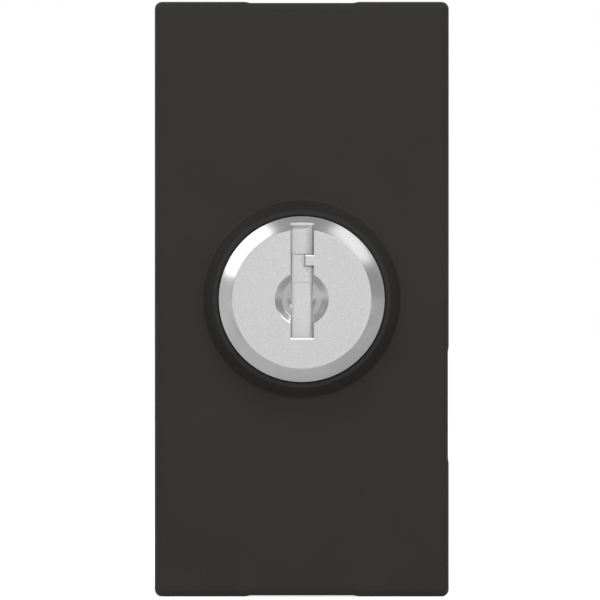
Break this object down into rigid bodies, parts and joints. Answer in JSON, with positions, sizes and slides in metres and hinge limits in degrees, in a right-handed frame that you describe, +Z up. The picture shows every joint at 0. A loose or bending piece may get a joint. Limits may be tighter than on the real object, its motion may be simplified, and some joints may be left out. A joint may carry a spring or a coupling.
{
  "type": "selector key switch",
  "caption": "Slim upright flush-mounted key switch insert: black front cover with a raised collar, a metal wafer lock with key shutter, and a casing with a closing and an opening contact.",
  "frame": {"origin": "centre of the seating plane, the rear rim of the front cover, on the lock's axis", "axes": "+X right seen from the front, +Y into the wall along the lock's axis, +Z up"},
  "size_m": [0.0222, 0.0362, 0.045],
  "materials": {
    "black_cover": "fine matt moulded black",
    "grey_casing": "dark grey moulded",
    "ivory_insulation": "ivory moulded",
    "white_slider": "white low-friction moulded",
    "satin_nickel": "satin nickel plating on die-cast zinc",
    "plated_steel": "zinc-plated steel",
    "spring_steel": "bare spring steel",
    "brass": "machined brass",
    "copper_alloy": "stamped copper alloy",
    "silver": "silver contact"
  },
  "bodies": {
    "casing": {"front_cover": "black_cover", "rear_housing": "grey_casing", "barrier_plate": "ivory_insulation", "barrier_screw_bottom": "plated_steel", "barrier_screw_top": "plated_steel", "lock_body": "satin_nickel", "lock_washer": "plated_steel", "lock_nut": "plated_steel", "detent_spring": "spring_steel", "contact_strip_bottom_left": "copper_alloy", "contact_rivet_bottom_left": "silver", "terminal_block_bottom_left": "brass", "terminal_screw_bottom_left": "plated_steel", "contact_strip_top_left": "copper_alloy", "contact_rivet_top_left": "silver", "terminal_block_top_left": "brass", "terminal_screw_top_left": "plated_steel", "contact_strip_bottom_right": "copper_alloy", "contact_rivet_bottom_right": "silver", "terminal_block_bottom_right": "brass", "terminal_screw_bottom_right": "plated_steel", "contact_strip_top_right": "copper_alloy", "contact_rivet_top_right": "silver", "terminal_block_top_right": "brass", "terminal_screw_top_right": "plated_steel", "return_spring_left": "spring_steel", "return_spring_right": "spring_steel"},
    "rotor": {"lock_rotor": "satin_nickel", "shutter_pin": "plated_steel", "stop_pin": "plated_steel", "shutter_spring": "spring_steel", "drive_cam": "white_slider", "cam_screw": "plated_steel", "wafer_spring_1": "spring_steel", "wafer_spring_2": "spring_steel", "wafer_spring_3": "spring_steel", "wafer_spring_4": "spring_steel", "wafer_spring_5": "spring_steel"},
    "shutter": {"key_shutter": "satin_nickel"},
    "wafer_1": {"wafer_1": "brass"},
    "wafer_2": {"wafer_2": "brass"},
    "wafer_3": {"wafer_3": "brass"},
    "wafer_4": {"wafer_4": "brass"},
    "wafer_5": {"wafer_5": "brass"},
    "plunger_left": {"plunger_left": "white_slider", "contact_bridge_left": "copper_alloy"},
    "plunger_right": {"plunger_right": "white_slider", "contact_bridge_right": "copper_alloy"}
  },
  "joints": [
    {"name": "key_turn", "type": "hinge", "parent": "casing", "child": "rotor", "pos_m": [0, 0, 0], "axis": [0, 1, 0], "range_deg": [0, 90], "deforming": ["detent_spring"]},
    {"name": "shutter_swing", "type": "hinge", "parent": "rotor", "child": "shutter", "pos_m": [-0.00131, -0.00928, 0], "axis": [0, 0, 1], "range_deg": [0, 90], "stiffness_Nm_per_rad": 0.0001, "springref_deg": -28.65, "deforming": ["shutter_spring"]},
    {"name": "wafer_1_slide", "type": "slide", "parent": "rotor", "child": "wafer_1", "axis": [0, 0, 1], "range_m": [0, 0.0005], "stiffness_N_per_m": 100, "springref_m": 0.0015, "deforming": ["wafer_spring_1"]},
    {"name": "wafer_2_slide", "type": "slide", "parent": "rotor", "child": "wafer_2", "axis": [0, 0, 1], "range_m": [0, 0.0005], "deforming": ["wafer_spring_2"]},
    {"name": "wafer_3_slide", "type": "slide", "parent": "rotor", "child": "wafer_3", "axis": [0, 0, 1], "range_m": [0, 0.0005], "deforming": ["wafer_spring_3"]},
    {"name": "wafer_4_slide", "type": "slide", "parent": "rotor", "child": "wafer_4", "axis": [0, 0, 1], "range_m": [0, 0.0005], "deforming": ["wafer_spring_4"]},
    {"name": "wafer_5_slide", "type": "slide", "parent": "rotor", "child": "wafer_5", "axis": [0, 0, 1], "range_m": [0, 0.0005], "deforming": ["wafer_spring_5"]},
    {"name": "plunger_left_slide", "type": "slide", "parent": "casing", "child": "plunger_left", "axis": [0, 1, 0], "range_m": [0, 0.0025], "deforming": ["return_spring_left"]},
    {"name": "plunger_right_slide", "type": "slide", "parent": "casing", "child": "plunger_right", "axis": [0, 1, 0], "range_m": [0, 0.0025], "deforming": ["return_spring_right"]}
  ],
  "couplings": [
    {"joint": "wafer_2_slide", "follows": "wafer_1_slide", "ratio": 1},
    {"joint": "wafer_3_slide", "follows": "wafer_1_slide", "ratio": 1},
    {"joint": "wafer_4_slide", "follows": "wafer_1_slide", "ratio": 1},
    {"joint": "wafer_5_slide", "follows": "wafer_1_slide", "ratio": 1},
    {"joint": "plunger_left_slide", "follows": "key_turn", "m_per_rad": 0.0015915},
    {"joint": "plunger_right_slide", "follows": "key_turn", "m_per_rad": 0.0015915}
  ]
}
